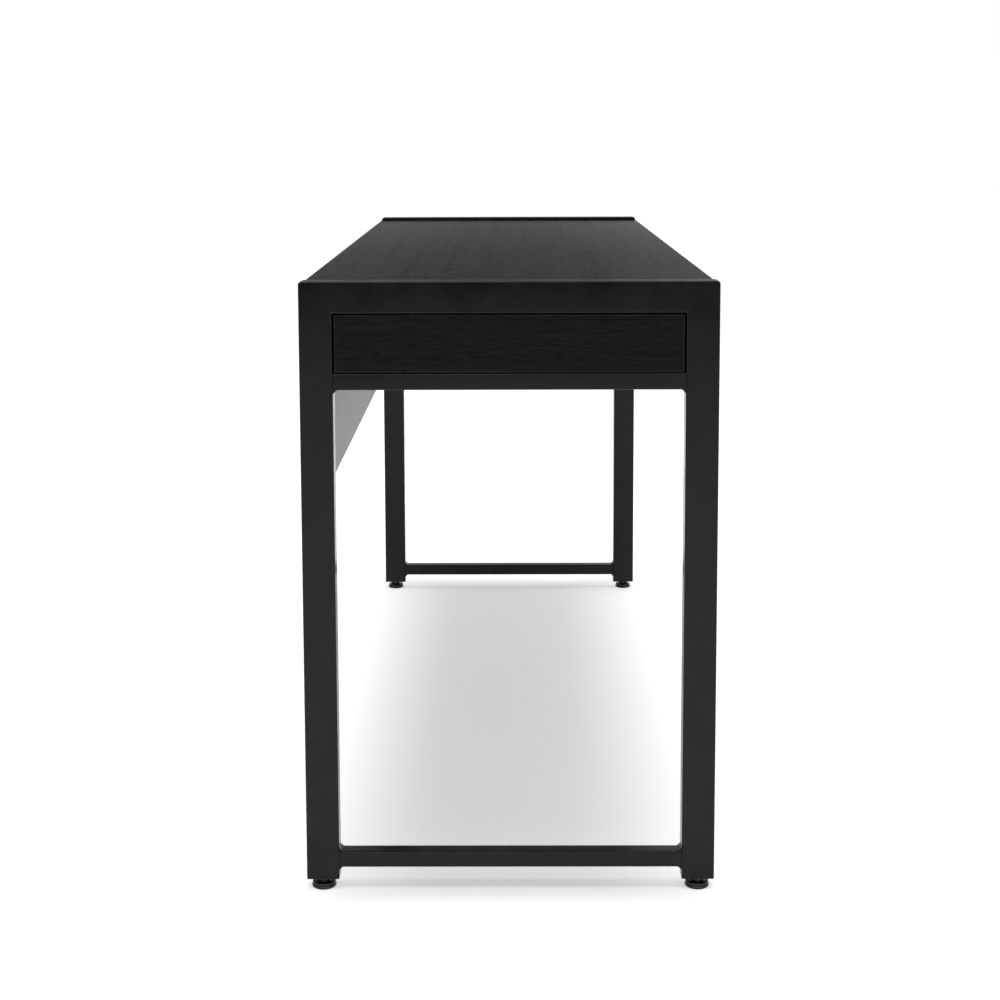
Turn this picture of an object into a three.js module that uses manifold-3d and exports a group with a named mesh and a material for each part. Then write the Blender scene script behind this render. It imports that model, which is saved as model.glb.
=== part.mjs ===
// Writing desk with a push-to-open drawer in each end.
// Two welded steel end frames carry the top, the aprons and the modesty panel.
// Millimetres. +X runs along the desk, -Y is the side where the user sits, +Z is up.
// The origin is on the floor, under the middle of the desk.

import * as THREE from 'three';
import { mergeVertices } from 'three/addons/utils/BufferGeometryUtils.js';
import Module from 'manifold-3d';

const wasm = await Module();
wasm.setup();

// ---- Driving dimensions ----

const LENGTH = 1400;
const WIDTH = 500;
const HEIGHT = 750;

// Steel tubes of the end frames
const LEG_WIDTH = 40; // across the desk
const FRAME_DEPTH = 25; // along the desk
const TOP_RAIL_HEIGHT = 38.5;
const TUBE_WALL = 2;
const TUBE_RADIUS = 2;
const FRAME_CORNER_RADIUS = 4.5; // upper corners of an end frame, ground round after welding
const OPENING_HEIGHT = 71.5; // from the drawer rail up to the top rail
const DRAWER_RAIL_HEIGHT = 20;
const FOOT_RAIL_SIZE = 20;
const FOOT_RAIL_BOTTOM = 27;
const RAIL_WELD = 5; // leg of the fillet weld under a drawer rail
const FOOT_WELD = 4.5; // leg of the fillet welds on a foot rail

// Steel tubes that run from one end frame to the other
const LONG_RAIL_WIDTH = 20;
const UPPER_RAIL_HEIGHT = 15;
const LOWER_RAIL_HEIGHT = 20;
const LONG_RAIL_WALL = 1.5;
const LONG_RAIL_RADIUS = 2;

// Boards
const TOP_RECESS = 4; // the top lies this far below the rim of the end frames
const TOP_THICKNESS = 19.5;
const TOP_END_GAP = 0.5;
const BOARD_INSET = 1; // boards stand back from the outer faces of the steel
const BOARD_ARRIS = 0.8;
const BOARD_END_GAP = 0.4;
const MODESTY_HEIGHT = 145;
const GUIDE_HEIGHT = 60; // boards that carry the runners
const BASE_THICKNESS = 4; // sheet that closes the case from below
const BASE_SIDE_GAP = 0.4;
const CROSS_RAIL_THICKNESS = 19;
const CROSS_RAIL_HEIGHT = 50;

// Drawers
const FRONT_THICKNESS = 19;
const FRONT_SIDE_GAP = 2.2;
const FRONT_TOP_GAP = 1.5;
const FRONT_BOTTOM_GAP = 0.8;
const DRAWER_LENGTH = 400; // behind the front
const DRAWER_SIDE_THICKNESS = 12;
const DRAWER_SIDE_HEIGHT = 52;
const DRAWER_SIDE_RISE = 6; // lower edges of the sides above the drawer rail
const DRAWER_BOTTOM_THICKNESS = 6;
const GROOVE_HEIGHT = 6; // from the lower edge of a side up to the bottom's groove
const GROOVE_DEPTH = 6;
const GROOVE_CLEARANCE = 0.3;
const DOVETAIL = { front: 3, back: 2, depth: 12, slope: 1 / 6, pin: 5, fit: 0.1 };

// Ball-bearing runners
const RUNNER_WIDTH = 12.7;
const RUNNER_HEIGHT = 45;
const RUNNER_SHEET = 1.2;
const RUNNER_WEB_GAP = 0.5; // between the webs of the cabinet and middle members
const RACEWAY_START = Math.PI / 6; // where a raceway leaves the ball, above its middle
const RUNNER_START = 8; // behind the back face of the drawer front
const RUNNER_STOP = 3; // short of the back end of the drawer
const BALL_RADIUS = 1.75;
const BALL_CLEARANCE = 0.08;
const BALLS_PER_ROW = 4;
const BALL_PITCH = 16;
const BALL_ROW_START = 14; // first ball, from the end of its member

// Push-to-open latches
const LATCH_BODY = { length: 28, width: 18, height: 20, radius: 2 };
const PLUNGER_RADIUS = 4;
const PLUNGER_TIP_RADIUS = 5.5;
const PLUNGER_TIP_LENGTH = 5;
const PLUNGER_CLEARANCE = 0.3;
const PLUNGER_STEM = 22;
const TOUCH_GAP = 0.3; // between pieces that meet but are not fixed together

// Levelling glides
const GLIDE_HEIGHT = 13; // leg end above the floor
const GLIDE_RADIUS = 15;
const GLIDE_DISC_HEIGHT = 7;
const GLIDE_HEX_RADIUS = 9; // collar with spanner flats, over its corners
const GLIDE_STEM_RADIUS = 4;
const GLIDE_STEM_LENGTH = 28;
const GLIDE_CLEARANCE = 0.3;
const INSERT_LENGTH = 24;
const INSERT_CLEARANCE = 0.2;
const INSERT_RADIUS = 1;

// Joining plates that hang the modesty panel on its rail
const PLATE = { length: 60, height: 36, thickness: 2, radius: 3 };
const PLATE_SETBACK = 195; // middle of a plate, from the panel's end

// ---- Derived places ----

const endX = LENGTH / 2;
const frameInnerX = endX - FRAME_DEPTH;
const frameMidX = endX - FRAME_DEPTH / 2;
const outerY = WIDTH / 2;
const legInnerY = outerY - LEG_WIDTH;
const legMidY = outerY - LEG_WIDTH / 2;
const openingTop = HEIGHT - TOP_RAIL_HEIGHT;
const drawerRailTop = openingTop - OPENING_HEIGHT;
const drawerRailBottom = drawerRailTop - DRAWER_RAIL_HEIGHT;
const topUpper = HEIGHT - TOP_RECESS;
const topUnder = topUpper - TOP_THICKNESS;
const upperRailBottom = topUnder - UPPER_RAIL_HEIGHT;
const lowerRailTop = drawerRailTop;
const lowerRailBottom = lowerRailTop - LOWER_RAIL_HEIGHT;
const longRailY = outerY - LONG_RAIL_WIDTH / 2;
const boardOuterY = outerY - BOARD_INSET;
const boardInnerY = outerY - LONG_RAIL_WIDTH;
const boardEndX = frameInnerX - BOARD_END_GAP;

const frontBackX = endX - FRONT_THICKNESS;
const frontHalfY = legInnerY - FRONT_SIDE_GAP;
const frontBottom = drawerRailTop + FRONT_BOTTOM_GAP;
const frontTop = openingTop - FRONT_TOP_GAP;
const drawerOuterY = legInnerY - RUNNER_WIDTH;
const drawerInnerY = drawerOuterY - DRAWER_SIDE_THICKNESS;
const drawerEndX = frontBackX - DRAWER_LENGTH;
const drawerSideBottom = drawerRailTop + DRAWER_SIDE_RISE;
const drawerSideTop = drawerSideBottom + DRAWER_SIDE_HEIGHT;
const grooveBottom = drawerSideBottom + GROOVE_HEIGHT;
const grooveTop = grooveBottom + DRAWER_BOTTOM_THICKNESS;

const runnerMidZ = (drawerSideBottom + drawerSideTop) / 2;
const runnerFrontX = frontBackX - RUNNER_START;
const runnerBackX = drawerEndX + RUNNER_STOP;

const guideZs = [runnerMidZ - GUIDE_HEIGHT / 2, runnerMidZ + GUIDE_HEIGHT / 2];

const latchMidZ = runnerMidZ;
const plungerFaceX = drawerEndX - TOUCH_GAP;
const latchFrontX = plungerFaceX - PLUNGER_TIP_LENGTH;
const latchBackX = latchFrontX - LATCH_BODY.length;
const crossRailFrontX = latchBackX;

// ---- Materials ----

const paint = { color: 0x161616, roughness: 0.55, metalness: 0.2 };
const veneer = { color: 0x17130f, roughness: 0.5, metalness: 0 };
const lacquer = { color: 0x191817, roughness: 0.45, metalness: 0 };
const birch = { color: 0xc9ad83, roughness: 0.6, metalness: 0 };
const zinc = { color: 0xb9bcc0, roughness: 0.35, metalness: 0.9 };
const nylon = { color: 0x121212, roughness: 0.6, metalness: 0 };
const greyPlastic = { color: 0x8b8d8f, roughness: 0.6, metalness: 0 };

// ---- Shapes ----

const desk = new THREE.Group();

function add(name, geometry, material) {
  const mesh = new THREE.Mesh(geometry, new THREE.MeshStandardMaterial(material));
  mesh.name = name;
  desk.add(mesh);
}

// A prism's outline lies in the two axes that follow its own: Y and Z for a prism along X,
// Z and X for one along Y, X and Y for one along Z.
const unit = {
  x: new THREE.Vector3(1, 0, 0),
  y: new THREE.Vector3(0, 1, 0),
  z: new THREE.Vector3(0, 0, 1),
};
const placeAlong = {
  x: new THREE.Matrix4().makeBasis(unit.y, unit.z, unit.x),
  y: new THREE.Matrix4().makeBasis(unit.z, unit.x, unit.y),
  z: new THREE.Matrix4().makeBasis(unit.x, unit.y, unit.z),
};

function prism(shape, axis, from, to, curveSegments = 2) {
  const low = Math.min(from, to);
  const depth = Math.abs(to - from);
  const geometry = new THREE.ExtrudeGeometry(shape, { depth, bevelEnabled: false, curveSegments });
  return geometry.translate(0, 0, low).applyMatrix4(placeAlong[axis]);
}

function roundedPath(path, [u, v], [width, height], radius) {
  const right = u + width / 2 - radius;
  const left = u - width / 2 + radius;
  const top = v + height / 2 - radius;
  const bottom = v - height / 2 + radius;
  path.moveTo(left, bottom - radius);
  path.lineTo(right, bottom - radius);
  path.absarc(right, bottom, radius, -Math.PI / 2, 0);
  path.lineTo(right + radius, top);
  path.absarc(right, top, radius, 0, Math.PI / 2);
  path.lineTo(left, top + radius);
  path.absarc(left, top, radius, Math.PI / 2, Math.PI);
  path.lineTo(left - radius, bottom);
  path.absarc(left, bottom, radius, Math.PI, Math.PI * 1.5);
  return path;
}

function tubeSection(centre, size, wall, radius) {
  const shape = roundedPath(new THREE.Shape(), centre, size, radius);
  const inner = size.map((side) => side - 2 * wall);
  const bore = roundedPath(new THREE.Path(), centre, inner, Math.max(radius - wall, 0.5));
  shape.holes.push(bore);
  return shape;
}

// A round hole for a shape: a path of its own, so that it can be rounder than the corners.
function roundHole([u, v], radius) {
  const sides = 24;
  const points = Array.from({ length: sides }, (_, i) => {
    const angle = (i / sides) * Math.PI * 2;
    return new THREE.Vector2(u + radius * Math.cos(angle), v + radius * Math.sin(angle));
  });
  return new THREE.Path(points);
}

function tube(axis, from, to, centre, size, wall, radius) {
  return prism(tubeSection(centre, size, wall, radius), axis, from, to);
}

function bar(axis, from, to, centre, size, radius) {
  return prism(roundedPath(new THREE.Shape(), centre, size, radius), axis, from, to, 1);
}

function block(xs, ys, zs) {
  const size = [xs, ys, zs].map(([low, high]) => high - low);
  const middle = [xs, ys, zs].map(([low, high]) => (low + high) / 2);
  return new THREE.BoxGeometry(...size).translate(...middle);
}

// A span at the given end of the desk: side is -1 at the left end and +1 at the right end.
function span(side, near, far) {
  return [side * near, side * far].sort((a, b) => a - b);
}

function centreOf([low, high]) {
  return (low + high) / 2;
}

// ---- Joining and cutting ----

function toSolid(geometry) {
  const bare = geometry.index ? geometry.toNonIndexed() : geometry.clone();
  bare.deleteAttribute('normal');
  bare.deleteAttribute('uv');
  const merged = mergeVertices(bare, 1e-4);
  return new wasm.Manifold(
    new wasm.Mesh({
      numProp: 3,
      vertProperties: merged.attributes.position.array,
      triVerts: new Uint32Array(merged.index.array),
    }),
  );
}

function toGeometry(solid) {
  const mesh = solid.getMesh();
  const geometry = new THREE.BufferGeometry();
  const positions = new Float32Array(mesh.vertProperties);
  geometry.setAttribute('position', new THREE.BufferAttribute(positions, 3));
  geometry.setIndex(new THREE.BufferAttribute(new Uint32Array(mesh.triVerts), 1));
  return geometry;
}

function join(...geometries) {
  const [first, ...rest] = geometries.map(toSolid);
  return toGeometry(rest.reduce((sum, solid) => sum.add(solid), first));
}

function cut(geometry, ...tools) {
  const start = toSolid(geometry);
  return toGeometry(tools.map(toSolid).reduce((left, tool) => left.subtract(tool), start));
}

function clip(geometry, tool) {
  return toGeometry(toSolid(geometry).intersect(toSolid(tool)));
}

// ---- End frames ----

// The top corners are mitred from the inner corner of the opening to the outer corner.
const mitreSlope = TOP_RAIL_HEIGHT / LEG_WIDTH;

function mitreLegTop(geometry) {
  const position = geometry.attributes.position;
  for (let i = 0; i < position.count; i++) {
    if (position.getZ(i) < openingTop) continue;
    const across = Math.abs(position.getY(i)) - legInnerY;
    position.setZ(i, openingTop + across * mitreSlope);
  }
  return geometry;
}

function mitreRailEnds(geometry) {
  const position = geometry.attributes.position;
  for (let i = 0; i < position.count; i++) {
    const rise = position.getZ(i) - openingTop;
    const half = legInnerY + rise / mitreSlope;
    position.setY(i, Math.sign(position.getY(i)) * half);
  }
  return geometry;
}

// Outline of an end frame, with its two round upper corners.
function frameOutline(side) {
  const shape = new THREE.Shape();
  const cornerY = outerY - FRAME_CORNER_RADIUS;
  const cornerZ = HEIGHT - FRAME_CORNER_RADIUS;
  shape.moveTo(-outerY, 0);
  shape.lineTo(outerY, 0);
  shape.lineTo(outerY, cornerZ);
  shape.absarc(cornerY, cornerZ, FRAME_CORNER_RADIUS, 0, Math.PI / 2);
  shape.lineTo(-cornerY, HEIGHT);
  shape.absarc(-cornerY, cornerZ, FRAME_CORNER_RADIUS, Math.PI / 2, Math.PI);
  return prism(shape, 'x', side * (frameInnerX - 1), side * (endX + 1), 4);
}

function leg(side, row) {
  const centre = [side * frameMidX, row * legMidY];
  const size = [FRAME_DEPTH, LEG_WIDTH];
  const straight = tube('z', GLIDE_HEIGHT, HEIGHT, centre, size, TUBE_WALL, TUBE_RADIUS);
  return clip(mitreLegTop(straight), frameOutline(side));
}

function topRail(side) {
  const centre = [(openingTop + HEIGHT) / 2, side * frameMidX];
  const size = [TOP_RAIL_HEIGHT, FRAME_DEPTH];
  const straight = tube('y', -outerY, outerY, centre, size, TUBE_WALL, TUBE_RADIUS);
  return clip(mitreRailEnds(straight), frameOutline(side));
}

// A concave fillet weld in the corner between a leg's inner face and a rail's face at height z.
// facing is +1 above the rail and -1 below it; the bead runs along X.
function weld(side, row, z, facing, size, halfLength) {
  const root = 1; // depth of the bead in the rail's wall
  const shape = new THREE.Shape();
  shape.moveTo(row * legInnerY, z - facing * root);
  shape.lineTo(row * legInnerY, z + facing * size);
  const middle = [row * (legInnerY - size * 0.38), z + facing * size * 0.38];
  shape.quadraticCurveTo(...middle, row * (legInnerY - size), z);
  shape.lineTo(row * (legInnerY - size), z - facing * root);
  const middleX = side * frameMidX;
  return prism(shape, 'x', middleX - halfLength, middleX + halfLength, 3);
}

function drawerRail(side) {
  const centre = [(drawerRailBottom + drawerRailTop) / 2, side * frameMidX];
  const size = [DRAWER_RAIL_HEIGHT, FRAME_DEPTH];
  const rail = tube('y', -legInnerY, legInnerY, centre, size, TUBE_WALL, TUBE_RADIUS);
  const halfLength = FRAME_DEPTH / 2 - TUBE_RADIUS;
  const beads = [-1, 1].map((row) => weld(side, row, drawerRailBottom, -1, RAIL_WELD, halfLength));
  return join(rail, ...beads);
}

function footRail(side) {
  const centre = [FOOT_RAIL_BOTTOM + FOOT_RAIL_SIZE / 2, side * frameMidX];
  const size = [FOOT_RAIL_SIZE, FOOT_RAIL_SIZE];
  const rail = tube('y', -legInnerY, legInnerY, centre, size, TUBE_WALL, TUBE_RADIUS);
  const halfLength = FOOT_RAIL_SIZE / 2 - TUBE_RADIUS;
  const top = FOOT_RAIL_BOTTOM + FOOT_RAIL_SIZE;
  const beads = [-1, 1].flatMap((row) => [
    weld(side, row, top, 1, FOOT_WELD, halfLength),
    weld(side, row, FOOT_RAIL_BOTTOM, -1, FOOT_WELD, halfLength),
  ]);
  return join(rail, ...beads);
}

// ---- Long rails, top and boards ----

function longRail(centre, height) {
  const size = [LONG_RAIL_WIDTH, height];
  return tube('x', -frameInnerX, frameInnerX, centre, size, LONG_RAIL_WALL, LONG_RAIL_RADIUS);
}

function board(ys, zs) {
  const size = [ys[1] - ys[0], zs[1] - zs[0]];
  return bar('x', -boardEndX, boardEndX, [centreOf(ys), centreOf(zs)], size, BOARD_ARRIS);
}

function tabletop() {
  const half = frameInnerX - TOP_END_GAP;
  const size = [2 * boardOuterY, TOP_THICKNESS];
  return bar('x', -half, half, [0, topUnder + TOP_THICKNESS / 2], size, BOARD_ARRIS);
}

function joiningPlate(side) {
  const centre = [lowerRailBottom, side * (boardEndX - PLATE_SETBACK)];
  const shape = roundedPath(new THREE.Shape(), centre, [PLATE.height, PLATE.length], PLATE.radius);
  return prism(shape, 'y', boardInnerY - PLATE.thickness, boardInnerY);
}

function crossRail(side) {
  const xs = span(side, crossRailFrontX, crossRailFrontX - CROSS_RAIL_THICKNESS);
  const size = [CROSS_RAIL_HEIGHT, CROSS_RAIL_THICKNESS];
  return bar('y', -legInnerY, legInnerY, [latchMidZ, centreOf(xs)], size, BOARD_ARRIS);
}

// ---- Levelling glides ----

function insert(side, row) {
  const centre = [side * frameMidX, row * legMidY];
  const inner = [FRAME_DEPTH, LEG_WIDTH].map((size) => size - 2 * (TUBE_WALL + INSERT_CLEARANCE));
  const shape = roundedPath(new THREE.Shape(), centre, inner, INSERT_RADIUS);
  shape.holes.push(roundHole(centre, GLIDE_STEM_RADIUS + GLIDE_CLEARANCE));
  return prism(shape, 'z', GLIDE_HEIGHT, GLIDE_HEIGHT + INSERT_LENGTH);
}

function glide(side, row) {
  const step = GLIDE_DISC_HEIGHT / 2;
  const ring = GLIDE_RADIUS - 0.8;
  const collarTop = GLIDE_HEIGHT - TOUCH_GAP;
  const stemTop = collarTop + GLIDE_STEM_LENGTH;
  const edge = 2;
  const points = [new THREE.Vector2(0, 0)];
  for (let i = 0; i <= 3; i++) {
    const angle = (Math.PI / 2) * (i / 3);
    const r = GLIDE_RADIUS - edge + edge * Math.sin(angle);
    points.push(new THREE.Vector2(r, edge - edge * Math.cos(angle)));
  }
  points.push(new THREE.Vector2(GLIDE_RADIUS, step));
  points.push(new THREE.Vector2(ring, step + 0.6));
  points.push(new THREE.Vector2(ring, GLIDE_DISC_HEIGHT - 1));
  points.push(new THREE.Vector2(ring - 1, GLIDE_DISC_HEIGHT));
  points.push(new THREE.Vector2(GLIDE_STEM_RADIUS, GLIDE_DISC_HEIGHT));
  points.push(new THREE.Vector2(GLIDE_STEM_RADIUS, stemTop));
  points.push(new THREE.Vector2(0, stemTop));
  const turned = new THREE.LatheGeometry(points, 24).rotateX(Math.PI / 2);
  const collarHeight = collarTop - GLIDE_DISC_HEIGHT + 1; // 1 mm of it inside the disc
  const collar = new THREE.CylinderGeometry(GLIDE_HEX_RADIUS, GLIDE_HEX_RADIUS, collarHeight, 6);
  collar.rotateX(Math.PI / 2).translate(0, 0, collarTop - collarHeight / 2);
  return join(turned, collar).translate(side * frameMidX, row * legMidY, 0);
}

// ---- Drawers ----

// Drawer bottom groove in a board, as the block that the groove removes.
function groove(xs, ys) {
  const zs = [grooveBottom - GROOVE_CLEARANCE / 2, grooveTop + GROOVE_CLEARANCE / 2];
  return block(xs, ys, zs);
}

// The dovetails at one end of a drawer side, as prisms through its thickness. The tails share the
// height evenly, with a narrow pin between each two, and widen from rootX towards tipX.
// grow makes them larger all round, for the sockets that receive them.
function dovetails(row, count, [low, high], rootX, tipX, grow) {
  const pitch = (high - low) / count;
  const outward = Math.sign(tipX - rootX);
  const startX = rootX - outward; // 1 mm behind the root, so that the tail and its board are one
  const farX = tipX + outward * grow;
  const rootHalf = (pitch - DOVETAIL.pin) / 2 - DOVETAIL.depth * DOVETAIL.slope + grow;
  const halfAt = (x) => rootHalf + (x - rootX) * outward * DOVETAIL.slope;
  const [from, to] = span(row, drawerInnerY - grow, drawerOuterY + grow);
  return Array.from({ length: count }, (_, i) => {
    const middle = low + pitch * (i + 0.5);
    const shape = new THREE.Shape([
      new THREE.Vector2(middle - halfAt(startX), startX),
      new THREE.Vector2(middle + halfAt(startX), startX),
      new THREE.Vector2(middle + halfAt(farX), farX),
      new THREE.Vector2(middle - halfAt(farX), farX),
    ]);
    return prism(shape, 'y', from, to);
  });
}

const drawerSideZs = [drawerSideBottom, drawerSideTop];
const drawerBackZs = [grooveTop + GROOVE_CLEARANCE / 2, drawerSideTop];
const frontTipX = frontBackX + DOVETAIL.depth;
const backRootX = drawerEndX + DRAWER_SIDE_THICKNESS;

// The front hides its dovetails: their sockets stop short of its face.
function drawerFront(side) {
  const centre = [(frontBottom + frontTop) / 2, side * (endX - FRONT_THICKNESS / 2)];
  const size = [frontTop - frontBottom, FRONT_THICKNESS];
  const front = bar('y', -frontHalfY, frontHalfY, centre, size, BOARD_ARRIS);
  const half = drawerInnerY + GROOVE_DEPTH;
  const bottomGroove = groove(span(side, frontBackX + GROOVE_DEPTH, frontBackX - 1), [-half, half]);
  const tipX = side * frontTipX;
  const sockets = [-1, 1].flatMap((row) =>
    dovetails(row, DOVETAIL.front, drawerSideZs, side * frontBackX, tipX, DOVETAIL.fit),
  );
  return cut(front, bottomGroove, ...sockets);
}

function drawerSide(side, row) {
  const ys = span(row, drawerInnerY, drawerOuterY);
  const centre = [centreOf(ys), centreOf(drawerSideZs)];
  const size = [DRAWER_SIDE_THICKNESS, DRAWER_SIDE_HEIGHT];
  const board = bar('x', side * frontBackX, side * backRootX, centre, size, BOARD_ARRIS);
  const inner = span(row, drawerInnerY - 1, drawerInnerY + GROOVE_DEPTH);
  const lowTail = block(span(side, backRootX, drawerEndX), ys, [drawerSideBottom, drawerBackZs[0]]);
  const tails = [
    ...dovetails(row, DOVETAIL.front, drawerSideZs, side * frontBackX, side * frontTipX, 0),
    ...dovetails(row, DOVETAIL.back, drawerBackZs, side * backRootX, side * drawerEndX, 0),
  ];
  const bottomGroove = groove(span(side, endX, drawerEndX - 1), inner);
  return cut(join(board, lowTail, ...tails), bottomGroove);
}

function drawerBack(side) {
  const xs = span(side, drawerEndX, backRootX);
  const size = [drawerBackZs[1] - drawerBackZs[0], DRAWER_SIDE_THICKNESS];
  const centre = [centreOf(drawerBackZs), centreOf(xs)];
  const back = bar('y', -drawerOuterY, drawerOuterY, centre, size, BOARD_ARRIS);
  const sockets = [-1, 1].flatMap((row) => {
    const tipX = side * (drawerEndX - 1);
    return dovetails(row, DOVETAIL.back, drawerBackZs, side * backRootX, tipX, DOVETAIL.fit);
  });
  return cut(back, ...sockets);
}

function drawerBottom(side) {
  const half = drawerInnerY + GROOVE_DEPTH - GROOVE_CLEARANCE;
  const xs = span(side, frontBackX + GROOVE_DEPTH - GROOVE_CLEARANCE, drawerEndX);
  return block(xs, [-half, half], [grooveBottom, grooveTop]);
}

// ---- Runners ----

// Sections lie in the two axes (u, v): u runs from the guide board to the drawer, v runs up from
// the runner's centre line. Each member is rolled from sheet, the same above and below the
// centre line. outerBall and innerBall are the centres of the upper ball rows.
// The middle member's flange is a flat S: it passes under the outer row and over the inner one.
const sheetMiddle = RUNNER_SHEET / 2;
const racewayRadius = BALL_RADIUS + BALL_CLEARANCE + sheetMiddle;
const cabinetWebU = sheetMiddle;
const middleWebU = cabinetWebU + RUNNER_SHEET + RUNNER_WEB_GAP;
const drawerWebU = RUNNER_WIDTH - sheetMiddle;
const outerBall = {
  u: middleWebU + racewayRadius * Math.cos(RACEWAY_START),
  v: RUNNER_HEIGHT / 2 - sheetMiddle - racewayRadius,
};
const innerBall = {
  u: outerBall.u + 2 * racewayRadius * Math.cos(RACEWAY_START),
  v: outerBall.v - 2 * racewayRadius * Math.sin(RACEWAY_START),
};

// Points on a raceway's middle line, round the ball centre from one angle to another.
function raceway(ball, from, to, steps = 6) {
  return Array.from({ length: steps + 1 }, (_, i) => {
    const angle = from + ((to - from) * i) / steps;
    return new THREE.Vector2(
      ball.u + racewayRadius * Math.cos(angle),
      ball.v + racewayRadius * Math.sin(angle),
    );
  });
}

// Middle lines of the upper halves, from the web to the free edge of the flange.
const above = Math.PI / 2;
const below = -Math.PI / 2;
const spread = above - RACEWAY_START;
const kneeDrop = 1.2 * racewayRadius; // where a web bends towards a raceway under its ball
const upperHalf = {
  cabinet: [
    new THREE.Vector2(cabinetWebU, outerBall.v + racewayRadius * Math.sin(RACEWAY_START)),
    ...raceway(outerBall, above + spread, above - spread),
  ],
  middle: [
    new THREE.Vector2(middleWebU, outerBall.v - kneeDrop),
    ...raceway(outerBall, below - spread / 2, below + spread, 4),
    ...raceway(innerBall, above + spread, above - spread).slice(1),
  ],
  drawer: [
    new THREE.Vector2(drawerWebU, innerBall.v - kneeDrop),
    ...raceway(innerBall, below + spread / 2, below - spread, 4),
  ],
};

// The outline of a sheet whose middle line is given: half a thickness to each side of it.
function sheetShape(line) {
  const directions = line.slice(1).map((point, i) => point.clone().sub(line[i]).normalize());
  const sides = line.map((point, i) => {
    const arriving = directions[Math.max(i - 1, 0)];
    const leaving = directions[Math.min(i, directions.length - 1)];
    const along = arriving.clone().add(leaving).normalize();
    const mitre = sheetMiddle / along.dot(leaving);
    const offset = new THREE.Vector2(-along.y, along.x).multiplyScalar(mitre);
    return [point.clone().add(offset), point.clone().sub(offset)];
  });
  return new THREE.Shape([...sides.map(([a]) => a), ...sides.map(([, b]) => b).reverse()]);
}

function memberShape(half) {
  const lower = half.map((point) => new THREE.Vector2(point.x, -point.y)).reverse();
  return sheetShape([...lower, ...half]);
}

// Places a section in the row of runners: side picks the drawer, row the face of the drawer.
function placeRunner(shape, side, row) {
  const placed = shape.getPoints().map(
    (point) => new THREE.Vector2(row * (legInnerY - point.x), runnerMidZ + point.y),
  );
  return prism(new THREE.Shape(placed), 'x', side * runnerFrontX, side * runnerBackX);
}

function cabinetMember(side, row) {
  return placeRunner(memberShape(upperHalf.cabinet), side, row);
}

function drawerMember(side, row) {
  return placeRunner(memberShape(upperHalf.drawer), side, row);
}

// The balls are caged on the middle member, in a group at each of its ends.
function ballAt(side, row, x, ball, facing, lean) {
  const sphere = new THREE.SphereGeometry(BALL_RADIUS, 6, 3).rotateX(Math.PI / 2);
  const y = row * (legInnerY - ball.u);
  return sphere.translate(side * x, y, runnerMidZ + facing * (ball.v + lean));
}

function middleMember(side, row) {
  const balls = [];
  const lean = BALL_CLEARANCE * 2;
  for (let i = 0; i < BALLS_PER_ROW; i++) {
    const fromEnd = BALL_ROW_START + i * BALL_PITCH;
    for (const x of [runnerFrontX - fromEnd, runnerBackX + fromEnd]) {
      for (const facing of [-1, 1]) {
        balls.push(ballAt(side, row, x, outerBall, facing, -lean));
        balls.push(ballAt(side, row, x, innerBall, facing, lean));
      }
    }
  }
  return join(placeRunner(memberShape(upperHalf.middle), side, row), ...balls);
}

// ---- Push-to-open latches ----

function latchBody(side) {
  const centre = [0, latchMidZ];
  const size = [LATCH_BODY.width, LATCH_BODY.height];
  const shape = roundedPath(new THREE.Shape(), centre, size, LATCH_BODY.radius);
  shape.holes.push(roundHole(centre, PLUNGER_RADIUS + PLUNGER_CLEARANCE));
  return prism(shape, 'x', side * latchFrontX, side * latchBackX);
}

function plunger(side) {
  const tipBack = PLUNGER_STEM;
  const tipFront = PLUNGER_STEM + PLUNGER_TIP_LENGTH - TOUCH_GAP;
  const points = [
    [0, 0],
    [PLUNGER_RADIUS, 0],
    [PLUNGER_RADIUS, tipBack],
    [PLUNGER_TIP_RADIUS, tipBack],
    [PLUNGER_TIP_RADIUS, tipFront - 1],
    [PLUNGER_TIP_RADIUS - 1, tipFront],
    [0, tipFront],
  ].map((point) => new THREE.Vector2(...point));
  const geometry = new THREE.LatheGeometry(points, 24).rotateZ((-side * Math.PI) / 2);
  return geometry.translate(side * (plungerFaceX - tipFront), 0, latchMidZ);
}

// ---- Assembly ----

const ends = [
  ['left', -1],
  ['right', 1],
];
const rows = [
  ['front', -1],
  ['back', 1],
];

for (const [end, side] of ends) {
  add(`${end}_top_rail`, topRail(side), paint);
  add(`${end}_drawer_rail`, drawerRail(side), paint);
  add(`${end}_foot_rail`, footRail(side), paint);
  for (const [face, row] of rows) {
    add(`${end}_${face}_leg`, leg(side, row), paint);
    add(`${end}_${face}_leg_insert`, insert(side, row), nylon);
    add(`${end}_${face}_glide`, glide(side, row), nylon);
  }
}

for (const [face, row] of rows) {
  const lower = [row * longRailY, (lowerRailBottom + lowerRailTop) / 2];
  const upper = [row * longRailY, (upperRailBottom + topUnder) / 2];
  add(`${face}_lower_rail`, longRail(lower, LOWER_RAIL_HEIGHT), paint);
  add(`${face}_upper_rail`, longRail(upper, UPPER_RAIL_HEIGHT), paint);
  add(`${face}_apron`, board(span(row, boardInnerY, boardOuterY), [lowerRailTop, upperRailBottom]), veneer);
  add(`${face}_guide_board`, board(span(row, legInnerY, boardInnerY), guideZs), birch);
}

add('tabletop', tabletop(), veneer);
const baseHalf = boardInnerY - BASE_SIDE_GAP;
add('base_sheet', board([-baseHalf, baseHalf], [guideZs[0] - BASE_THICKNESS, guideZs[0]]), lacquer);
const modestyZs = [lowerRailBottom - MODESTY_HEIGHT, lowerRailBottom];
add('modesty_panel', board([boardInnerY, boardOuterY], modestyZs), lacquer);

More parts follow.
